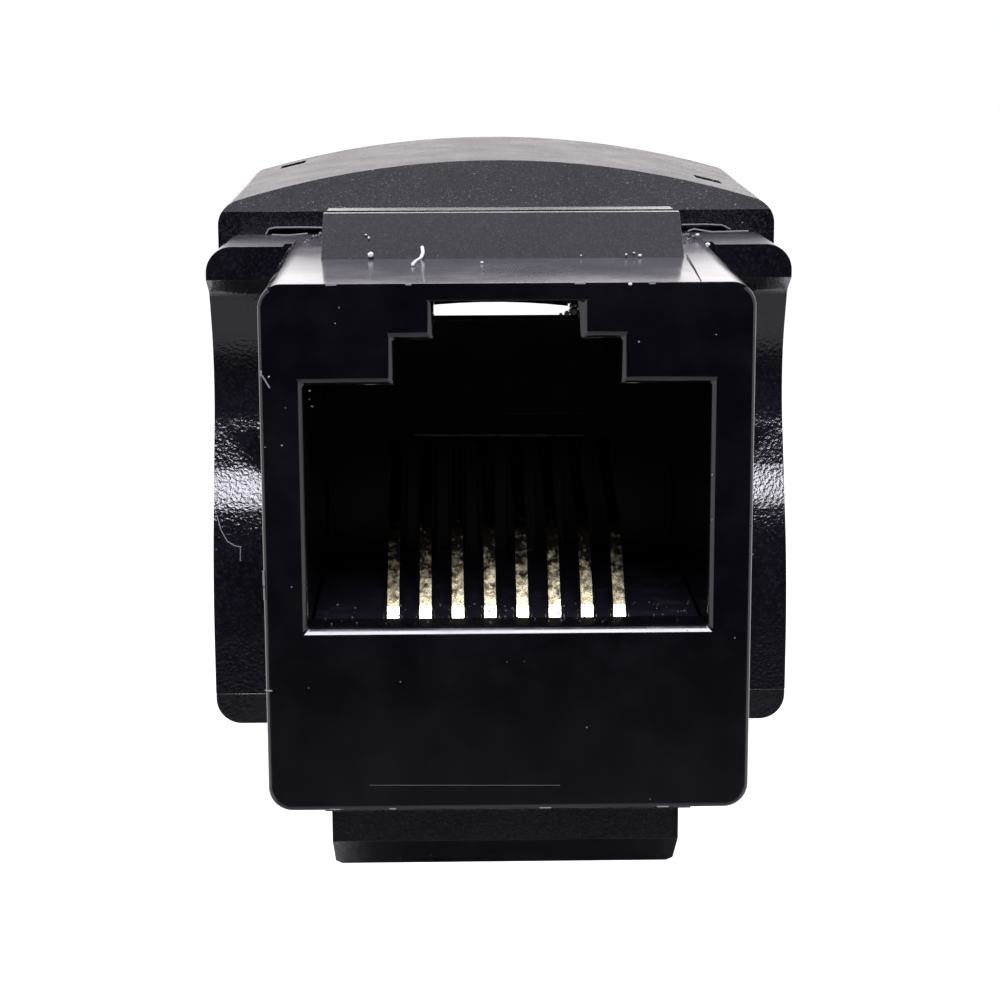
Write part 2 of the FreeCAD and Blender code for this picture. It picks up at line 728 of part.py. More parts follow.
def make_spring_contact(k):
    """Gold wire: pin in the board, run under the carrier, bend at the front, rise into the comb."""
    pin = sizes["pin_row"] + (k % 2) * sizes["pin_row_step"]
    corners = [
        (pin, sizes["pin_end"]),
        (pin, sizes["contact_run"]),
        (sizes["contact_front"], sizes["contact_run"]),
        (sizes["contact_front"], sizes["contact_foot"]),
        (sizes["knee_depth"], sizes["knee_height"]),
        (sizes["contact_tip"], sizes["contact_tip_height"]),
    ]
    bend = sizes["contact_bend"]
    face = bent_strip(corners, [bend, bend, bend, sizes["knee_bend"]], sizes["contact_thick"])
    contact = doc.addObject("Part::Feature", "spring_contact_%d" % (k + 1))
    contact.Label = contact.Name
    contact.Shape = face.extrude(FreeCAD.Vector(sizes["contact_width"], 0, 0))
    middle = (k - (sizes["contact_count"] - 1) / 2) * sizes["contact_pitch"]
    contact.Placement.Base = FreeCAD.Vector(middle - sizes["contact_width"] / 2, 0, -sizes["port_centre"])
    pieces.append(contact)


def write_pieces():
    """Check the whole document, then write one STEP file for each piece."""
    doc.recompute()
    for item in doc.Objects:
        if "Invalid" in item.State or "Error" in item.State:
            raise RuntimeError("%s (%s) failed: %s" % (item.Name, item.Label, item.State))
    for piece in pieces:
        if piece.Shape.isNull() or not piece.Shape.isValid() or len(piece.Shape.Solids) != 1:
            raise RuntimeError("%s is not one valid solid" % piece.Label)
    os.makedirs("parts", exist_ok=True)
    for piece in pieces:
        piece.Shape.exportStep("parts/%s.step" % piece.Label)
        print(piece.Label, "%.2f mm3" % piece.Shape.Volume)


make_jack_housing()
make_terminal_block()
make_dust_cap()
make_bottom_cover()
make_contact_carrier()
make_circuit_board()
for k in range(sizes["contact_count"]):
    make_spring_contact(k)
for k in range(2 * sizes["row_count"]):
    make_idc_contact(k + 1, "-" if k < sizes["row_count"] else "", k % sizes["row_count"])
write_pieces()
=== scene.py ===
import bmesh
import bpy
import math
import random
from mathutils import Matrix, Vector


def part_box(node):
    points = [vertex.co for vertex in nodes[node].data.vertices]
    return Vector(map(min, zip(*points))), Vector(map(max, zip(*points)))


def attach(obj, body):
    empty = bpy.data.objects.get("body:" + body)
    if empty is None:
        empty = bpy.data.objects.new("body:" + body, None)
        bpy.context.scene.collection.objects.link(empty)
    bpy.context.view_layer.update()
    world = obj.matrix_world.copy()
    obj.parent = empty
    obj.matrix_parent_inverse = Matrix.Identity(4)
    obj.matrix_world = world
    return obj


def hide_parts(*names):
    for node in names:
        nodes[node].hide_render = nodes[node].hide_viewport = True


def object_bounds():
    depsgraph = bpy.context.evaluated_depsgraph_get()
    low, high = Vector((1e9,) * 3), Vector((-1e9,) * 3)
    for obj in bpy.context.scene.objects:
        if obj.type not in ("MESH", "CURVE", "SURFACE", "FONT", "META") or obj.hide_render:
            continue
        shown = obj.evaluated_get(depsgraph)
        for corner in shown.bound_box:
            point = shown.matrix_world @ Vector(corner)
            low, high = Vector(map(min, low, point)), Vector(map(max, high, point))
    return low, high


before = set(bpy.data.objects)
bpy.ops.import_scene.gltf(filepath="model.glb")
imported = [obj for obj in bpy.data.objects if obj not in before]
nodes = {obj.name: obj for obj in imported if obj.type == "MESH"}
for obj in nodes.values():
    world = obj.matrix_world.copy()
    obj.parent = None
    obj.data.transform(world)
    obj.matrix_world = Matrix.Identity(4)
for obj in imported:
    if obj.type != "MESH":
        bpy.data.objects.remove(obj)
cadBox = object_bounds()
mm = 0.001
print("frame loaded")


def hexColour(text):
    # sRGB hex to linear RGBA
    channels = [int(text[i:i + 2], 16) / 255 for i in (1, 3, 5)]
    linear = [c / 12.92 if c <= 0.04045 else ((c + 0.055) / 1.055) ** 2.4 for c in channels]
    return (*linear, 1.0)


def addNode(tree, kind, settings=None, links=None):
    # settings: attribute or input -> value, links: input -> output socket
    node = tree.nodes.new(kind)
    for name, value in (settings or {}).items():
        if isinstance(name, str) and hasattr(node, name):
            setattr(node, name, value)
        else:
            node.inputs[name].default_value = value
    for name, socket in (links or {}).items():
        tree.links.new(socket, node.inputs[name])
    return node


def newMaterial(name):
    material = bpy.data.materials.new(name)
    material.use_nodes = True
    material.node_tree.nodes.clear()
    return material, material.node_tree


def ramp(tree, value, source, result=(0.0, 1.0), kind='LINEAR'):
    # maps the source range of a value to the result range and holds both ends
    settings = {"interpolation_type": kind, "From Min": source[0], "From Max": source[1],
                "To Min": result[0], "To Max": result[1]}
    return addNode(tree, "ShaderNodeMapRange", settings, {"Value": value}).outputs["Result"]


def blend(tree, share, first, second):
    # each colour is a hex text or a socket
    settings, links = {"data_type": 'RGBA'}, {0: share}
    for index, colour in ((6, first), (7, second)):
        if isinstance(colour, str):
            settings[index] = hexColour(colour)
        else:
            links[index] = colour
    return addNode(tree, "ShaderNodeMix", settings, links).outputs[2]


def noise(tree, place, size, detail, roughness=0.5):
    settings = {"Scale": 1 / size, "Detail": detail, "Roughness": roughness}
    return addNode(tree, "ShaderNodeTexNoise", settings, {"Vector": place}).outputs[0]


def relief(tree, height, depth, strength=1.0):
    return addNode(tree, "ShaderNodeBump", {"Strength": strength, "Distance": depth}, {"Height": height})


def objectPlace(tree):
    return addNode(tree, "ShaderNodeTexCoord").outputs["Object"]


def dustSpots(tree, place, finish):
    # mask of round specks: a share of the cells hold one, and its edge fades over an eighth of its size
    spacing, size = finish["dustSpacing"], finish["dustSize"]
    cells = addNode(tree, "ShaderNodeTexVoronoi", {"Scale": 1 / spacing}, {"Vector": place})
    picks = addNode(tree, "ShaderNodeSeparateColor", links={"Color": cells.outputs["Color"]})
    reach = ramp(tree, picks.outputs["Red"], (1 - finish["dustShare"], 1.0), (0.0, size / spacing / 2))
    inside = addNode(tree, "ShaderNodeMath", {"operation": 'SUBTRACT'}, {0: reach, 1: cells.outputs["Distance"]})
    return ramp(tree, inside.outputs[0], (0.0, size / spacing / 8))


def closeMaterial(tree, settings, links):
    shader = addNode(tree, "ShaderNodeBsdfPrincipled", settings, links)
    addNode(tree, "ShaderNodeOutputMaterial", links={"Surface": shader.outputs["BSDF"]})


absIndex = 1.53
pbtIndex = 1.57
lacquerIndex = 1.5

polished = {
    "colour": "#0a090e",       # black with a little violet
    "hazeColour": "#131217",
    "hazeSize": 2.5 * mm,
    "hazeRange": (0.4, 0.68),  # noise levels between which the haze comes in
    "roughness": (0.07, 0.2),  # clear gloss to finger haze
    "moundSize": 1.6 * mm,     # slight waviness of the moulded skin
    "moundDepth": 0.0035 * mm,
    "dustSpacing": 0.55 * mm,
    "dustSize": 0.08 * mm,
    "dustShare": 0.25,
    "dustColour": "#54535a",
}
# the nose's top, greyed by handling and painted lighter as sheen
hazedAndSheened = dict(polished, colour="#45434a", hazeColour="#56545b", roughness=(0.14, 0.2), moundDepth=0.002 * mm,
             dustShare=0.2)
# inside the port, painted darker as shade
portShaded = dict(polished, colour="#050507", hazeColour="#0a090c", roughness=(0.2, 0.3), dustShare=0.1)


def makePolishedAbs(name, finish):
    # ABS moulded on a polished tool: deep black, clear reflections, slight waves, haze and dust
    material, tree = newMaterial(name)
    place = objectPlace(tree)
    haze = ramp(tree, noise(tree, place, finish["hazeSize"], 6.0, 0.65), finish["hazeRange"])
    dust = dustSpots(tree, place, finish)
    tone = blend(tree, haze, finish["colour"], finish["hazeColour"])
    dusty = blend(tree, dust, tone, finish["dustColour"])
    gloss = ramp(tree, haze, (0.0, 1.0), finish["roughness"])
    dull = addNode(tree, "ShaderNodeMath", {"operation": 'MAXIMUM'}, {0: gloss, 1: dust})
    waves = relief(tree, noise(tree, place, finish["moundSize"], 1.0), finish["moundDepth"])
    closeMaterial(tree, {"IOR": absIndex},
                  {"Base Color": dusty, "Roughness": dull.outputs[0], "Normal": waves.outputs[0]})
    return material


blockFinish = {
    "colour": "#0d0c12",
    "blotchColour": "#15141a",
    "blotchSize": 1.8 * mm,
    "blotchRange": (0.35, 0.7),
    "dustSpacing": 0.5 * mm,
    "dustSize": 0.09 * mm,
    "dustShare": 0.16,
    "dustColour": "#6a6970",
    "glintGrainSize": 0.09 * mm,    # single craters, painted lighter as small glints of light
    "glintGrainColour": "#1e1d25",
    "glintGrainPower": 3.0,         # the higher, the fewer of them
    "gritSize": 0.1 * mm,      # craters of about 0.1 mm
    "pitSize": 0.14 * mm,
    "pitShare": 0.6,
    "gritDepth": 0.012 * mm,
    "roughness": (0.08, 0.14),
}
# the scooped flanks steepen just above their foot
scoopFinish = dict(blockFinish, hollow={"foot": -2.7 * mm, "head": -1.0 * mm, "depth": 0.16 * mm})
capFinish = dict(blockFinish, colour="#0b0a0f", blotchColour="#121117", gritSize=0.075 * mm, pitSize=0.11 * mm,
                 gritDepth=0.009 * mm, roughness=(0.12, 0.18), dustShare=0.3, dustColour="#8a898f",
                 glintGrainSize=0.055 * mm, glintGrainColour="#2b2a32")
dustyFinish = dict(capFinish, colour="#201e1d", blotchColour="#2c2a28", gritDepth=0.028 * mm,
                   roughness=(0.38, 0.48), glintGrainSize=0.08 * mm, glintGrainColour="#56514b")
deckFinish = dict(dustyFinish, colour="#131216", blotchColour="#242327", glintGrainColour="#55535a",
                  roughness=(0.3, 0.42))
lugFinish = dict(capFinish, gritDepth=0.003 * mm, roughness=(0.18, 0.24))
coverFinish = dict(blockFinish, gritDepth=0.01 * mm, roughness=(0.24, 0.34))


def hollowNormal(tree, place, hollow):
    height = addNode(tree, "ShaderNodeSeparateXYZ", links={"Vector": place}).outputs["Z"]
    fall = ramp(tree, height, (hollow["foot"], hollow["head"]), (1.0, 0.0), 'SMOOTHSTEP')
    return relief(tree, fall, hollow["depth"]).outputs[0]


def makeSparkAbs(name, finish):
    # ABS moulded on a spark-eroded tool: dull black whose fine grit glitters where light rakes it
    material, tree = newMaterial(name)
    place = objectPlace(tree)
    blotch = ramp(tree, noise(tree, place, finish["blotchSize"], 5.0, 0.6), finish["blotchRange"])
    dust = dustSpots(tree, place, finish)
    tone = blend(tree, blotch, finish["colour"], finish["blotchColour"])
    # a few craters painted lighter in colour: painted glints
    glintCells = addNode(tree, "ShaderNodeTexVoronoi", {"Scale": 1 / finish["glintGrainSize"]}, {"Vector": place})
    bright = addNode(tree, "ShaderNodeSeparateColor", links={"Color": glintCells.outputs["Color"]})
    few = addNode(tree, "ShaderNodeMath", {"operation": 'POWER', 1: finish["glintGrainPower"]},
                  {0: bright.outputs["Green"]})
    glinting = blend(tree, few.outputs[0], tone, finish["glintGrainColour"])
    dusty = blend(tree, dust, glinting, finish["dustColour"])
    grit = noise(tree, place, finish["gritSize"], 2.0, 0.55)
    pits = addNode(tree, "ShaderNodeTexVoronoi", {"Scale": 1 / finish["pitSize"], "feature": 'SMOOTH_F1',
                                                  "Smoothness": 0.6}, {"Vector": place})
    height = addNode(tree, "ShaderNodeMath", {"operation": 'MULTIPLY_ADD', 1: finish["pitShare"]},
                     {0: pits.outputs["Distance"], 2: grit})
    craters = relief(tree, height.outputs[0], finish["gritDepth"])
    if "hollow" in finish:
        tree.links.new(hollowNormal(tree, place, finish["hollow"]), craters.inputs["Normal"])
    gloss = ramp(tree, blotch, (0.0, 1.0), finish["roughness"])
    closeMaterial(tree, {"IOR": absIndex},
                  {"Base Color": dusty, "Roughness": gloss, "Normal": craters.outputs[0]})
    return material


carrierLook = {
    "colour": "#12111a",
    "scuffColour": "#1d1c24",
    "scuffSize": 0.9 * mm,
    "scuffRange": (0.5, 0.75),
    "scuffDepth": 0.006 * mm,
    "roughness": (0.3, 0.5),
}


def makeCarrierPbt():
    # glass-filled PBT: satin, slightly scuffed black that swallows light inside the port
    material, tree = newMaterial("mouldedPbt")
    scuffs = noise(tree, objectPlace(tree), carrierLook["scuffSize"], 8.0, 0.7)
    mask = ramp(tree, scuffs, carrierLook["scuffRange"])
    tone = blend(tree, mask, carrierLook["colour"], carrierLook["scuffColour"])
    gloss = ramp(tree, mask, (0.0, 1.0), carrierLook["roughness"])
    bump = relief(tree, scuffs, carrierLook["scuffDepth"], 0.6)
    closeMaterial(tree, {"IOR": pbtIndex}, {"Base Color": tone, "Roughness": gloss, "Normal": bump.outputs[0]})
    return material


goldLook = {
    "colour": "#e6dcb4",
    "tarnishAndShade": "#2b2722",
    "mottleSize": 0.28 * mm,   # grime leaves brown mottling
    "mottleDepth": 0.008 * mm,
    "wipedAndShaded": (-3.95 * mm, -1.8 * mm),  # a plug wipes the contacts clean low down; higher up, in the port roof's shade, they are painted darker
    "shadeClimb": (-0.08, 0.24),    # what that adds to the mottling: wear low down, painted shade higher up
    "tarnishAndShadeRange": (0.45, 0.66),
    "roughness": (0.28, 0.24),
    "bend": (-3.74 * mm, -3.86 * mm),  # going down, the bend has worn flat and faces up by this slope
    "bendSlope": 38,
    "bendWeight": 2.5,
}


def makeGoldPlate():
    # thin gold flash over nickel on drawn bronze: pale yellow, mottled brown where it is worn, and painted darker
    # higher up as the shade of the port's roof
    material, tree = newMaterial("goldFlashedBronze")
    place = objectPlace(tree)
    mottle = noise(tree, place, goldLook["mottleSize"], 7.0, 0.72)
    height = addNode(tree, "ShaderNodeSeparateXYZ", links={"Vector": place}).outputs["Z"]
    # darker with height: partly wear, partly painted shade
    shadeClimb = ramp(tree, height, goldLook["wipedAndShaded"], goldLook["shadeClimb"])
    grimeAndShade = addNode(tree, "ShaderNodeMath", {"operation": 'ADD'}, {0: mottle, 1: shadeClimb})
    mask = ramp(tree, grimeAndShade.outputs[0], goldLook["tarnishAndShadeRange"])
    tone = blend(tree, mask, goldLook["colour"], goldLook["tarnishAndShade"])
    gloss = ramp(tree, mask, (0.0, 1.0), goldLook["roughness"])
    bump = relief(tree, mottle, goldLook["mottleDepth"])
    worn = ramp(tree, height, goldLook["bend"], (0.0, goldLook["bendWeight"]))
    slope = math.radians(goldLook["bendSlope"])
    upward = (0, -math.cos(slope), math.sin(slope))
    flat = addNode(tree, "ShaderNodeVectorMath", {"operation": 'SCALE', 0: upward}, {"Scale": worn})
    tipped = addNode(tree, "ShaderNodeVectorMath", {"operation": 'ADD'}, {0: bump.outputs[0], 1: flat.outputs[0]})
    facing = addNode(tree, "ShaderNodeVectorMath", {"operation": 'NORMALIZE'}, {0: tipped.outputs[0]})
    closeMaterial(tree, {"Metallic": 1.0}, {"Base Color": tone, "Roughness": gloss, "Normal": facing.outputs[0]})
    return material


tinLook = {
    "colour": "#b8b8b4",
    "dullColour": "#8d8d8a",
    "cloudSize": 0.8 * mm,
    "roughness": (0.25, 0.42),
    "lineSize": 0.08 * mm,     # stamping lines, drawn out along the blade
    "lineStretch": 0.06,
    "lineDepth": 0.004 * mm,
}


def makeTinPlate():
    # matte tin on stamped bronze: soft grey metal with clouding and fine stamping lines
    material, tree = newMaterial("tinPlatedBronze")
    place = objectPlace(tree)
    clouds = noise(tree, place, tinLook["cloudSize"], 5.0)
    tone = blend(tree, clouds, tinLook["colour"], tinLook["dullColour"])
    gloss = ramp(tree, clouds, (0.0, 1.0), tinLook["roughness"])
    stretched = addNode(tree, "ShaderNodeMapping", {"Scale": (1.0, 1.0, tinLook["lineStretch"])},
                        {"Vector": place})
    lines = noise(tree, stretched.outputs[0], tinLook["lineSize"], 2.0)
    bump = relief(tree, lines, tinLook["lineDepth"], 0.5)
    closeMaterial(tree, {"Metallic": 1.0}, {"Base Color": tone, "Roughness": gloss, "Normal": bump.outputs[0]})
    return material


boardLook = {
    "mask": "#123f20",
    "copper": "#1d5a30",
    "trackStep": 1.27 * mm,
    "trackEdge": (0.3, 0.34),
    "trackDepth": 0.03 * mm,
    "roughness": 0.22,
}


def makeSolderMask():
    # green solder mask over copper tracks: glossy lacquer, paler where copper lies under it
    material, tree = newMaterial("solderMaskedLaminate")
    tracks = addNode(tree, "ShaderNodeTexVoronoi", {"Scale": 1 / boardLook["trackStep"], "distance": 'CHEBYCHEV',
                                                    "Randomness": 0.6}, {"Vector": objectPlace(tree)})
    bare = ramp(tree, tracks.outputs[0], boardLook["trackEdge"])
    tone = blend(tree, bare, boardLook["copper"], boardLook["mask"])
    bump = relief(tree, bare, boardLook["trackDepth"], 0.7)
    bump.invert = True
    closeMaterial(tree, {"IOR": lacquerIndex, "Roughness": boardLook["roughness"]},
                  {"Base Color": tone, "Normal": bump.outputs[0]})
    return material


polishedAbs = makePolishedAbs("polishedMouldedAbs", polished)
# the handled top, painted lighter as sheen
hazedSheenedAbs = makePolishedAbs("handledSheenedPolishedAbs", hazedAndSheened)
# inside the port, painted darker as shade
portShadedAbs = makePolishedAbs("portShadedPolishedAbs", portShaded)
lugAbs = makeSparkAbs("finelySparkedAbs", lugFinish)
blockAbs = makeSparkAbs("sparkErodedAbs", blockFinish)
scoopAbs = makeSparkAbs("scoopedSparkErodedAbs", scoopFinish)
capAbs = makeSparkAbs("dulledAbs", capFinish)
dustyAbs = makeSparkAbs("dustyAbs", dustyFinish)
deckAbs = makeSparkAbs("dustyDeckAbs", deckFinish)
coverAbs = makeSparkAbs("satinAbs", coverFinish)
carrierPbt = makeCarrierPbt()
goldPlate = makeGoldPlate()
tinPlate = makeTinPlate()
solderMask = makeSolderMask()
print("materials made")


mouldings = {
    # node: body, edge break, material slots
    "jack_housing": ("jack", 0.05 * mm, [polishedAbs, lugAbs, hazedSheenedAbs, portShadedAbs], "nose_plastic"),
    "terminal_block": ("jack", 0.07 * mm, [blockAbs, deckAbs, scoopAbs], "block_plastic"),
    "dust_cap": ("cap", 0.06 * mm, [capAbs, dustyAbs], "cap_plastic"),
    "bottom_cover": ("jack", 0.05 * mm, [coverAbs], "cover_plastic"),
    "contact_carrier": ("jack", 0.03 * mm, [carrierPbt], "carrier_plastic"),
}


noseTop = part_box("terminal_block")[1].z     # at the front face; the block's deck has the same height
mergeGap = 0.001 * mm
flatAngle = math.radians(0.3)               # facets that meet flatter than this are one flat
cornerAngle = math.radians(28)              # edges sharper than this are rounded
noseForm = {
    "drop": 0.28 * mm,         # how far the top has sunk at its back
    "length": 13 * mm,
    "back": 13.1 * mm,
    "reach": 0.8 * mm,         # height below the top that sinks with it
    "swell": 0.55 * mm,        # height above the front edge that is still the top
    "edgeDepth": 0.25 * mm,    # the front edge is pressed to a tenth of its depth
    "edgePress": 0.1,
    "lipRound": 0.075 * mm,
}
portLips = {"halfWidth": 6.6 * mm, "depth": 0.4 * mm, "low": -4.3 * mm, "high": 6.3 * mm}
lugCrest = {"front": 8.2 * mm, "back": 8.6 * mm, "height": 0.9 * mm}


def settleNose(bm):
    # the nose's top falls a little towards the back, and its front edge is crisp
    for vert in bm.verts:
        share = (vert.co.z - noseTop + noseForm["reach"]) / noseForm["reach"]
        if 0 < share and vert.co.z < noseTop + noseForm["swell"] and vert.co.y < noseForm["back"]:
            share = min(share, 1.0)
            if share > 0.8 and vert.co.y < noseForm["edgeDepth"]:
                vert.co.y *= noseForm["edgePress"]
            vert.co.z -= noseForm["drop"] * share * vert.co.y / noseForm["length"]


def isCrisp(edge):
    # the top's front edge and the back edge of the lug's crest
    middle = (edge.verts[0].co + edge.verts[1].co) / 2
    frontEdge = middle.y < 0.03 * mm and middle.z > noseTop - 0.3 * mm
    crestBack = lugCrest["front"] < middle.y < lugCrest["back"] and middle.z > noseTop + lugCrest["height"]
    return frontEdge or crestBack


def onLip(vert):
    low, high = portLips["low"], portLips["high"]
    return vert.co.y < portLips["depth"] and abs(vert.co.x) < portLips["halfWidth"] and low < vert.co.z < high


def roundLips(bm):
    # plugs have worn the port's lips round
    lips = [edge for edge in bm.edges if all(onLip(vert) for vert in edge.verts)
            and len(edge.link_faces) == 2 and edge.calc_face_angle() > cornerAngle]
    bmesh.ops.bevel(bm, geom=lips, offset=noseForm["lipRound"], segments=3, profile=0.5, affect='EDGES',
                    clamp_overlap=True)


def mouldedCopy(nodeName, body, edgeBreak, materials, finishOf=None):
    # merged copy of a CAD moulding: flats joined, edges rounded, flats kept flat in the shading
    bm = bmesh.new()
    bm.from_mesh(nodes[nodeName].data)
    bmesh.ops.remove_doubles(bm, verts=bm.verts, dist=mergeGap)
    bmesh.ops.dissolve_limit(bm, angle_limit=flatAngle, verts=bm.verts, edges=bm.edges, delimit={'NORMAL'})
    if nodeName == "jack_housing":
        settleNose(bm)
        roundLips(bm)
    bmesh.ops.recalc_face_normals(bm, faces=bm.faces)
    weights = bm.edges.layers.float.new("bevel_weight_edge")
    for edge in bm.edges:
        corner = len(edge.link_faces) == 2 and edge.calc_face_angle() > cornerAngle
        edge[weights] = 1.0 if corner and not isCrisp(edge) else 0.0
    for face in bm.faces:
        face.smooth = True
        face.material_index = finishOf(face) if finishOf else 0
    mesh = bpy.data.meshes.new(nodeName + "_moulded")
    bm.to_mesh(mesh)
    bm.free()
    for material in materials:
        mesh.materials.append(material)
    piece = bpy.data.objects.new(mesh.name, mesh)
    bpy.context.scene.collection.objects.link(piece)
    edges = piece.modifiers.new("edgeBreak", 'BEVEL')
    edges.width = edgeBreak
    edges.segments = 2
    edges.limit_method = 'WEIGHT'
    flats = piece.modifiers.new("flats", 'WEIGHTED_NORMAL')
    flats.mode = 'FACE_AREA'
    flats.weight = 100
    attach(piece, body)
    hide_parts(nodeName)
    return piece


# heights from the nose's top
portZone = {"halfWidth": 6 * mm, "front": 0.32 * mm, "low": -10.6 * mm, "high": -0.45 * mm}
lugFoot = 0.55 * mm
latchHead = -16.4 * mm
lyingFlat = 0.92                            # least Z of the normal of a face that dust settles on


def housingFinish(face):
    # 0: polished wall, 1: fixed lug and springy latch, 2: handled top, painted lighter as sheen, 3: inside the
    #    port, painted darker as shade
    middle = face.calc_center_median()
    height = middle.z - noseTop
    inDepth = abs(middle.x) < portZone["halfWidth"] and middle.y > portZone["front"]
    if inDepth and portZone["low"] < height < portZone["high"]:
        return 3
    if height > lugFoot or height < latchHead:
        return 1
    return 2 if face.normal.z > 0.9 and height > -0.3 * mm else 0


def topFinish(face):
    # 1: dusty top
    return 1 if face.normal.z > lyingFlat else 0


def blockFinishOf(face):
    # 2: the scooped flanks
    if face.normal.y < -0.5 and face.calc_center_median().y < 13.6 * mm:
        return 2
    return topFinish(face)


finishes = {"jack_housing": housingFinish, "dust_cap": topFinish, "terminal_block": blockFinishOf}
for nodeName, (body, edgeBreak, materials, slot) in mouldings.items():
    mouldedCopy(nodeName, body, edgeBreak, materials, finishes.get(nodeName))
for k in range(1, 9):
    nodes["spring_contact_%d" % k].material_slots[0].material = goldPlate
    nodes["idc_contact_%d" % k].material_slots[0].material = tinPlate
nodes["circuit_board"].material_slots[0].material = solderMask
print("mouldings made")


# colours of lint, grime, dust and debris, some of them also used for painted highlights and painted shade
dirtAndPaintedLight = {
    "lint": "#e9e8ec",         # cotton lint and chips of plastic, and a painted highlight along the carrier's edge
    "grimeAndShade": "#0b0a0d",        # dark hairs and flakes, and a bar of painted shade
    # grey dust, also painting highlights along the cap's and deck's edges
    "dust": "#86848b",
    "debris": "#4a484f",
    "debrisCount": 130,        # in the port
    "debrisSizes": (0.02, 0.09),   # mm
    "cornerCount": 36,         # on each pass along the corners between nose and block
    "cornerSizes": (0.04, 0.13),
    "cornerSpread": 0.07,
}


def makeDullMatter(name, colour):
    # dull, dry matter
    material, tree = newMaterial(name)
    shader = addNode(tree, "ShaderNodeBsdfPrincipled", {"Base Color": hexColour(colour), "Roughness": 0.8})
    addNode(tree, "ShaderNodeOutputMaterial", links={"Surface": shader.outputs["BSDF"]})
    return material


def finishLoosePiece(bm, name, material, body):
    mesh = bpy.data.meshes.new(name)
    bm.to_mesh(mesh)
    bm.free()
    mesh.materials.append(material)
    piece = bpy.data.objects.new(name, mesh)
    bpy.context.scene.collection.objects.link(piece)
    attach(piece, body)
    return piece


def scatterCrumbs(name, material, body, crumbs):
    # crumbs: X, Y, Z and size in mm
    random.seed(len(crumbs))
    bm = bmesh.new()
    for x, y, z, size in crumbs:
        made = bmesh.ops.create_icosphere(bm, subdivisions=1, radius=size * mm / 2)
        shape = (random.uniform(0.7, 1.3), random.uniform(0.7, 1.3), random.uniform(0.6, 1.0), 1)
        squash = Matrix.Diagonal(shape)
        turn = Matrix.Rotation(random.uniform(0, 6.28), 4, 'Z')     # any way round
        matrix = Matrix.Translation((x * mm, y * mm, z * mm)) @ turn @ squash
        bmesh.ops.transform(bm, matrix=matrix, verts=made["verts"])
    return finishLoosePiece(bm, name, material, body)


def layFibres(name, material, body, fibres):
    # fibres: thickness in mm and the points they run through, drawn out as short rounded rods
    bm = bmesh.new()
    for thickness, points in fibres:
        places = [Vector(point) * mm for point in points]
        for start, end in zip(places, places[1:]):
            run = end - start
            made = bmesh.ops.create_cone(bm, cap_ends=True, segments=6, radius1=thickness * mm / 2,
                                         radius2=thickness * mm / 2, depth=run.length)
            matrix = Matrix.Translation((start + end) / 2) @ run.to_track_quat('Z', 'Y').to_matrix().to_4x4()
            bmesh.ops.transform(bm, matrix=matrix, verts=made["verts"])
        for place in places:
            made = bmesh.ops.create_icosphere(bm, subdivisions=1, radius=thickness * mm / 2)
            bmesh.ops.transform(bm, matrix=Matrix.Translation(place), verts=made["verts"])
    return finishLoosePiece(bm, name, material, body)


lintAndHighlightMatter = makeDullMatter("cottonLintAndHighlight", dirtAndPaintedLight["lint"])
grimeAndShadeMatter = makeDullMatter("greasyGrimeAndShade", dirtAndPaintedLight["grimeAndShade"])
dustAndHighlightMatter = makeDullMatter("greyDustAndHighlight", dirtAndPaintedLight["dust"])
debrisMatter = makeDullMatter("shedPlastic", dirtAndPaintedLight["debris"])

scatterCrumbs("plastic_chips", lintAndHighlightMatter, "jack", [
    (-4.23, 6.25, 7.02, 0.24), (-4.31, 6.96, 7.50, 0.10), (-4.41, 7.08, 7.59, 0.07), (3.96, 6.23, 6.99, 0.10),
    (4.40, 6.19, 6.96, 0.11), (4.22, 6.35, 7.03, 0.07), (2.51, 6.20, 6.97, 0.07), (-0.69, 4.82, 6.90, 0.10),
    (3.63, 0.02, 6.72, 0.12), (7.08, 11.60, 6.70, 0.16), (7.16, 11.60, 6.80, 0.19), (6.80, 11.60, 7.13, 0.15),
    (-6.80, 11.60, 6.72, 0.13), (-7.51, 11.60, 6.19, 0.11), (-7.09, 0.02, 4.02, 0.09),
])
scatterCrumbs("rim_dust", dustAndHighlightMatter, "jack", [
    (-5.90, 0.20, 3.56, 0.07), (-5.84, 0.25, 3.08, 0.06), (-5.92, 0.25, 3.30, 0.04), (-7.09, 0.0, 4.02, 0.06),
    (6.28, 0.05, 2.20, 0.09), (6.15, 0.10, 0.94, 0.07), (6.17, 0.10, -0.45, 0.07), (7.38, 0.05, -0.64, 0.06),
    (7.40, 0.05, -1.51, 0.06), (-7.25, 0.0, 1.9, 0.05), (-6.75, 0.0, 1.95, 0.07),
    (6.2, 0.0, 5.2, 0.06), (3.9, 0.0, 5.0, 0.07), (-2.2, 0.0, 5.9, 0.05), (-5.1, 0.0, 5.6, 0.06),
    (-6.55, 0.0, -2.4, 0.06), (6.9, 0.0, -4.1, 0.06), (2.4, 0.0, -6.9, 0.06), (-3.3, 0.0, -5.4, 0.05),
])
layFibres("lint", lintAndHighlightMatter, "jack", [
    (0.12, [(-2.59, 6.55, 7.22), (-2.56, 6.30, 7.06), (-2.62, 6.04, 6.93), (-2.78, 5.2, 6.91),
            (-2.86, 4.2, 6.90)]),
])
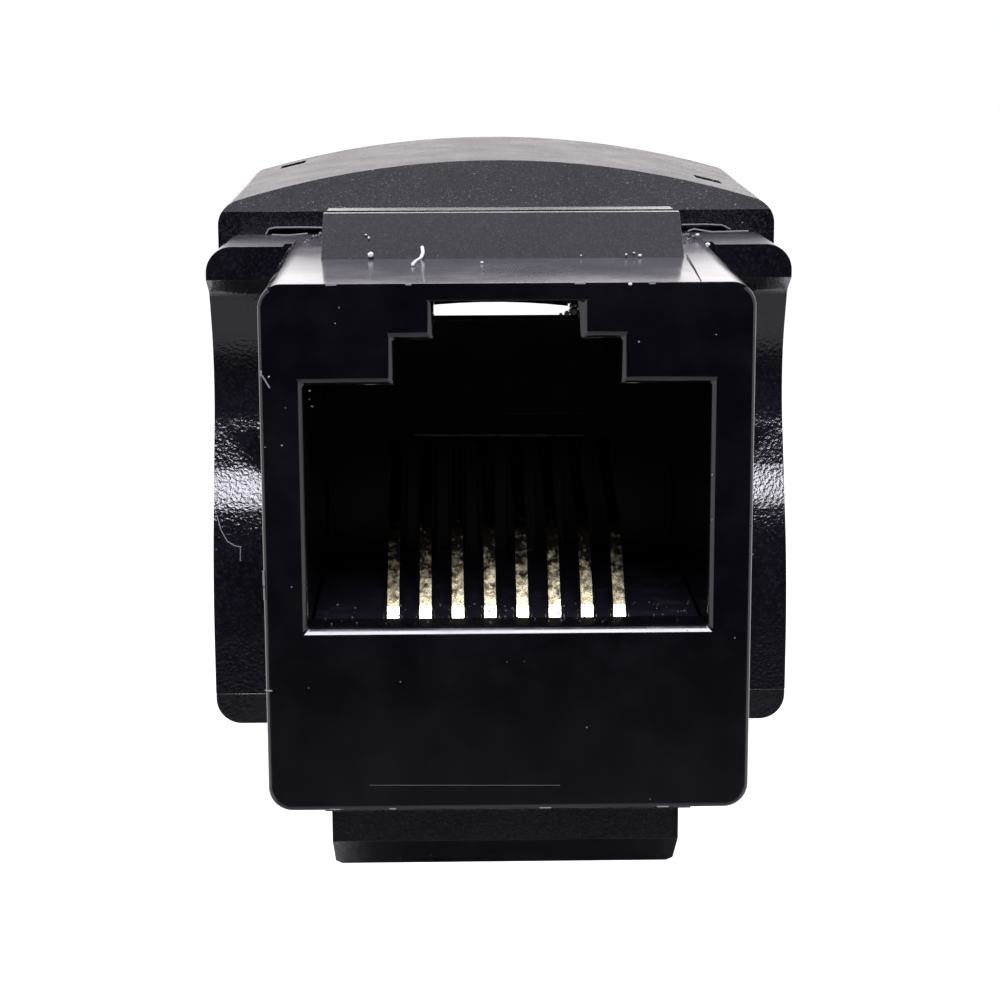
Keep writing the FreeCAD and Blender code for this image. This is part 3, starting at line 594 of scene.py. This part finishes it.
layFibres("moulding_flash", dustAndHighlightMatter, "jack", [
    (0.045, [(-2.62, 5.6, 6.90), (-2.58, 4.6, 6.89), (-2.51, 1.96, 6.83), (-2.46, 0.05, 6.79)]),
    (0.035, [(-9.94, 11.62, -2.60), (-9.80, 11.50, -3.10), (-9.58, 11.44, -3.50), (-9.30, 11.42, -3.66),
             (-9.10, 11.42, -3.70), (-9.16, 11.42, -3.94), (-9.12, 11.42, -4.19)]),
    (0.06, [(-6.86, 11.60, 6.90), (-7.09, 11.60, 6.60), (-7.34, 11.60, 6.12)]),
    (0.04, [(-7.19, 11.60, 6.74), (-7.40, 11.60, 6.40), (-7.51, 11.60, 6.19)]),
    (0.05, [(-7.36, -0.02, 4.20), (-7.28, -0.02, 4.05), (-7.08, -0.02, 3.70)]),
    (0.05, [(-7.42, 0.05, -1.92), (-7.38, 0.02, -2.35), (-7.40, 0.05, -2.79)]),
    (0.05, [(-7.42, 0.02, -5.64), (-7.22, -0.01, -5.65)]),
    (0.03, [(-5.52, 0.03, -9.46), (-5.2, 0.03, -9.47)]),
    (0.05, [(-3.67, 0.03, -9.46), (-3.5, 0.03, -9.47)]),
    (0.04, [(0.96, 0.03, -9.48), (1.3, 0.03, -9.48)]),
    (0.05, [(4.6, 0.03, -9.48), (4.93, 0.03, -9.48)]),
    (0.04, [(-5.35, 0.01, 6.73), (-5.05, 0.01, 6.74)]),
    (0.05, [(-3.0, 0.01, 6.74), (-2.85, 0.01, 6.74)]),
    (0.04, [(2.0, 0.01, 6.74), (2.3, 0.01, 6.74)]),
    (0.04, [(4.2, 0.01, 6.73), (4.37, 0.01, 6.73)]),
])
scatterCrumbs("slot_flash", grimeAndShadeMatter, "jack", [
    (1.84, 0.42, 6.16, 0.16), (1.97, 0.42, 6.04, 0.30), (2.00, 0.42, 5.87, 0.34), (2.15, 0.42, 6.00, 0.34),
    (2.10, 0.42, 6.17, 0.22), (1.78, 0.42, 5.81, 0.20), (1.60, 0.42, 5.79, 0.12), (2.22, 0.42, 5.82, 0.24),
    (-2.23, 0.42, 6.19, 0.16), (-2.23, 0.42, 5.79, 0.16), (2.26, 0.42, 6.14, 0.20), (1.70, 0.42, 6.19, 0.10),
])
scatterCrumbs("slot_crumbs", dustAndHighlightMatter, "jack", [
    (1.90, 0.22, 6.02, 0.06), (2.02, 0.22, 6.06, 0.07), (2.10, 0.22, 5.96, 0.06), (1.82, 0.22, 5.93, 0.05),
])
layFibres("face_scuff", debrisMatter, "jack", [
    (0.035, [(-4.27, 0.01, -8.69), (1.58, 0.01, -8.75)]),
])
# a light strand along the carrier's comb edge: a painted highlight
layFibres("carrier_edge_highlight", lintAndHighlightMatter, "jack", [
    (0.11, [(-2.97, 11.50, 0.24), (-0.01, 11.50, 0.21), (1.6, 11.50, 0.19)]),
    (0.06, [(1.6, 11.50, 0.19), (2.89, 11.50, 0.17)]),
])
# light strands along the cap's relief edges: moulding flash, and a painted highlight of those edges
layFibres("cap_flash_and_highlight", dustAndHighlightMatter, "cap", [
    (0.06, [(-8.38, 16.5, 6.80), (-8.27, 16.5, 6.98), (-8.05, 16.5, 7.03), (-7.14, 16.5, 7.035),
            (-6.35, 16.5, 7.02)]),
    (0.05, [(6.74, 16.5, 7.06), (7.58, 16.5, 7.07), (8.20, 16.5, 7.04), (8.50, 16.5, 6.89)]),
])
# light strands along the deck's back edge: lint, and a painted highlight of that edge
layFibres("deck_lint_and_highlight", dustAndHighlightMatter, "jack", [
    (0.06, [(-8.12, 16.0, 6.81), (-7.48, 16.0, 6.79), (-6.86, 16.0, 6.85)]),
    (0.06, [(6.92, 16.0, 6.87), (7.13, 16.0, 6.94), (7.79, 16.0, 6.83), (9.09, 16.0, 6.86)]),
])
layFibres("dark_hair_and_shade_bar", grimeAndShadeMatter, "jack", [
    (0.035, [(5.93, 6.34, 6.93), (5.85, 3.28, 6.86), (5.74, 0.1, 6.78)]),
    # a dark bar along the carrier's back edge: painted shade that hides the carrier's sheen seen through the slit
    (0.13, [(-2.9, 12.0, 4.285), (2.9, 12.0, 4.285)]),
])
for name, material, seed in (("corner_dust", dustAndHighlightMatter, 5), ("corner_grime", grimeAndShadeMatter, 6)):
    random.seed(seed)
    crumbs = []
    for k in range(dirtAndPaintedLight["cornerCount"]):
        side = random.choice((-1, 1))
        along = random.random()
        crumbs.append((side * (6.1 + 1.2 * along + random.gauss(0, dirtAndPaintedLight["cornerSpread"])), 11.4,
                       7.2 - 0.95 * along ** 2 + random.gauss(0, dirtAndPaintedLight["cornerSpread"]),
                       random.uniform(*dirtAndPaintedLight["cornerSizes"])))
    scatterCrumbs(name, material, "jack", crumbs)
random.seed(11)
scatterCrumbs("port_debris", debrisMatter, "jack", [
    (random.uniform(-5.8, 5.8), random.uniform(0.5, 3.0), -3.70, random.uniform(*dirtAndPaintedLight["debrisSizes"]))
    for k in range(dirtAndPaintedLight["debrisCount"])
])
print("lint and grime laid")


cameraSet = {
    "lens": 84.8,              # mm
    "sensor": 36,
    "aim": (-0.24 * mm, 0, 0.24 * mm),
    "distance": 70.8 * mm,
    "pitch": 11.5,             # degrees down
    "yaw": 1.12,               # degrees, stands left of the axis and looks right
    "roll": 0.2,
}


def makeCamera():
    data = bpy.data.cameras.new("camera")
    data.sensor_width = cameraSet["sensor"]
    data.lens = cameraSet["lens"]
    data.clip_start = 1 * mm
    data.clip_end = 10
    camera = bpy.data.objects.new("camera", data)
    bpy.context.scene.collection.objects.link(camera)
    pitch = math.radians(cameraSet["pitch"])
    yaw = math.radians(cameraSet["yaw"])
    forward = Vector((math.sin(yaw) * math.cos(pitch), math.cos(yaw) * math.cos(pitch), -math.sin(pitch)))
    turn = forward.to_track_quat('-Z', 'Y').to_matrix().to_4x4()
    turn = turn @ Matrix.Rotation(math.radians(cameraSet["roll"]), 4, 'Z').inverted()
    turn.translation = Vector(cameraSet["aim"]) - forward * cameraSet["distance"]
    camera.matrix_world = turn
    bpy.context.scene.camera = camera


makeCamera()
print("camera set")


studio = {
    "floorDrop": 60 * mm,
    "floorSize": 2.0,
    "floorColour": "#cccccc",
    "floorGlow": (0.55, 1.0),      # near the object, far away
    "floorFade": (0.05, 0.16),     # between these distances
    "worldFill": 0.12,
    # lamp: azimuth from the front, elevation, distance, width, height, radiance
    "key": (0, 57.3, 0.30, 0.11, 0.19, 16.5),
    "keyTint": (0.975, 0.955, 1.06),
    "skyTint": (0.97, 0.955, 1.04, 1.0),   # what the object's gloss sees of the white surround
    "back": (180, 16, 0.45, 0.8, 0.2, 0.95),
    "backTint": (1.0, 0.945, 0.89),
    "frontCard": (-0.12, 0.20, -0.075, 0.091),     # Y, half width, foot, head
    "lowCard": (0.0012, 0.018, -0.035, 0.0085, 0.014),   # X, Y, Z, half width, half depth
    "greyCard": (0.0, -0.036, -0.045, 0.035, 0.032),
    "blackFelt": ("#a8a8a8", "#080808"),           # the front card's foot, and the rest
    "feltFade": (-0.055, -0.036),                  # heights between which the one turns into the other
    "greyFelt": "#d4d4d4",
}


def seenDirectly(tree):
    # 1 for what is seen, also mirrored or through a gap, 0 for the light that it throws on the object
    path = addNode(tree, "ShaderNodeLightPath")
    seen = path.outputs["Is Camera Ray"]
    for kind in ("Is Glossy Ray", "Is Transmission Ray"):
        either = addNode(tree, "ShaderNodeMath", {"operation": 'MAXIMUM'}, {0: seen, 1: path.outputs[kind]})
        seen = either.outputs[0]
    return path, seen


def makeWorld():
    world = bpy.data.worlds.new("studioWorld")
    bpy.context.scene.world = world
    world.use_nodes = True
    tree = world.node_tree
    tree.nodes.clear()
    path, seen = seenDirectly(tree)
    strength = ramp(tree, seen, (0.0, 1.0), (studio["worldFill"], 1.0))
    tone = addNode(tree, "ShaderNodeMix", {"data_type": 'RGBA', 6: studio["skyTint"], 7: (1, 1, 1, 1)},
                   {0: path.outputs["Is Camera Ray"]})
    background = addNode(tree, "ShaderNodeBackground", links={"Color": tone.outputs[2], "Strength": strength})
    addNode(tree, "ShaderNodeOutputWorld", links={"Surface": background.outputs["Background"]})


def makeSoftbox(name, azimuth, elevation, distance, width, height, radiance):
    data = bpy.data.lights.new(name, 'AREA')
    data.shape = 'RECTANGLE'
    data.size = width
    data.size_y = height
    data.energy = radiance * 4 * width * height
    lamp = bpy.data.objects.new(name, data)
    bpy.context.scene.collection.objects.link(lamp)
    a = math.radians(azimuth)
    e = math.radians(elevation)
    outward = Vector((math.sin(a) * math.cos(e), -math.cos(a) * math.cos(e), math.sin(e)))
    lamp.location = outward * distance
    lamp.rotation_euler = outward.to_track_quat('Z', 'Y').to_euler()
    lamp.visible_camera = False
    return lamp


def makeSheet(name, halfWidth, halfHeight, matrix, material):
    bm = bmesh.new()
    bmesh.ops.create_grid(bm, x_segments=1, y_segments=1, size=1.0)
    bmesh.ops.scale(bm, vec=(halfWidth, halfHeight, 1), verts=bm.verts)
    bmesh.ops.transform(bm, matrix=matrix, verts=bm.verts)
    mesh = bpy.data.meshes.new(name)
    bm.to_mesh(mesh)
    bm.free()
    mesh.materials.append(material)
    sheet = bpy.data.objects.new(name, mesh)
    bpy.context.scene.collection.objects.link(sheet)
    return sheet


def makeFloor():
    low = cadBox[0].z - studio["floorDrop"]
    material, tree = newMaterial("paleFloor")
    path, seen = seenDirectly(tree)
    away = addNode(tree, "ShaderNodeVectorMath", {"operation": 'LENGTH'}, {0: objectPlace(tree)})
    fade = ramp(tree, away.outputs["Value"], studio["floorFade"], studio["floorGlow"])
    level = addNode(tree, "ShaderNodeMath", {"operation": 'MULTIPLY'}, {0: seen, 1: fade})
    shader = addNode(tree, "ShaderNodeBsdfDiffuse", {"Color": hexColour(studio["floorColour"])})
    glow = addNode(tree, "ShaderNodeEmission", {"Color": (1, 1, 1, 1)}, {"Strength": level.outputs[0]})
    both = addNode(tree, "ShaderNodeAddShader", links={0: shader.outputs[0], 1: glow.outputs[0]})
    addNode(tree, "ShaderNodeOutputMaterial", links={"Surface": both.outputs[0]})
    makeSheet("floor", studio["floorSize"], studio["floorSize"], Matrix.Translation((0, 0, low)), material)


def makeCards():
    # cards that the camera can't see: a black one behind the camera, greyer towards its foot, keeps the shiny
    # face dark, a small one beneath keeps the latch's underside dark, and a grey one lights the latch's ramp
    depth, halfWidth, foot, head = studio["frontCard"]
    material, tree = newMaterial("blackFelt")
    height = addNode(tree, "ShaderNodeSeparateXYZ", links={"Vector": objectPlace(tree)}).outputs["Z"]
    tone = blend(tree, ramp(tree, height, studio["feltFade"]), *studio["blackFelt"])
    shader = addNode(tree, "ShaderNodeBsdfDiffuse", links={"Color": tone})
    addNode(tree, "ShaderNodeOutputMaterial", links={"Surface": shader.outputs[0]})
    matrix = Matrix.Translation((0, depth, (foot + head) / 2)) @ Matrix.Rotation(math.radians(90), 4, 'X')
    makeSheet("frontCard", halfWidth, (head - foot) / 2, matrix, material).visible_camera = False
    x, y, z, halfWidth, halfDepth = studio["lowCard"]
    makeSheet("lowCard", halfWidth, halfDepth, Matrix.Translation((x, y, z)), material).visible_camera = False
    grey, tree = newMaterial("greyFelt")
    shader = addNode(tree, "ShaderNodeBsdfDiffuse", {"Color": hexColour(studio["greyFelt"])})
    addNode(tree, "ShaderNodeOutputMaterial", links={"Surface": shader.outputs[0]})
    x, y, z, halfWidth, halfDepth = studio["greyCard"]
    makeSheet("greyCard", halfWidth, halfDepth, Matrix.Translation((x, y, z)), grey).visible_camera = False


makeWorld()
makeSoftbox("key", *studio["key"]).data.color = studio["keyTint"]
makeSoftbox("back", *studio["back"]).data.color = studio["backTint"]
makeCards()
makeFloor()
print("studio lit")

bpy.context.scene.view_settings.view_transform = 'Standard'
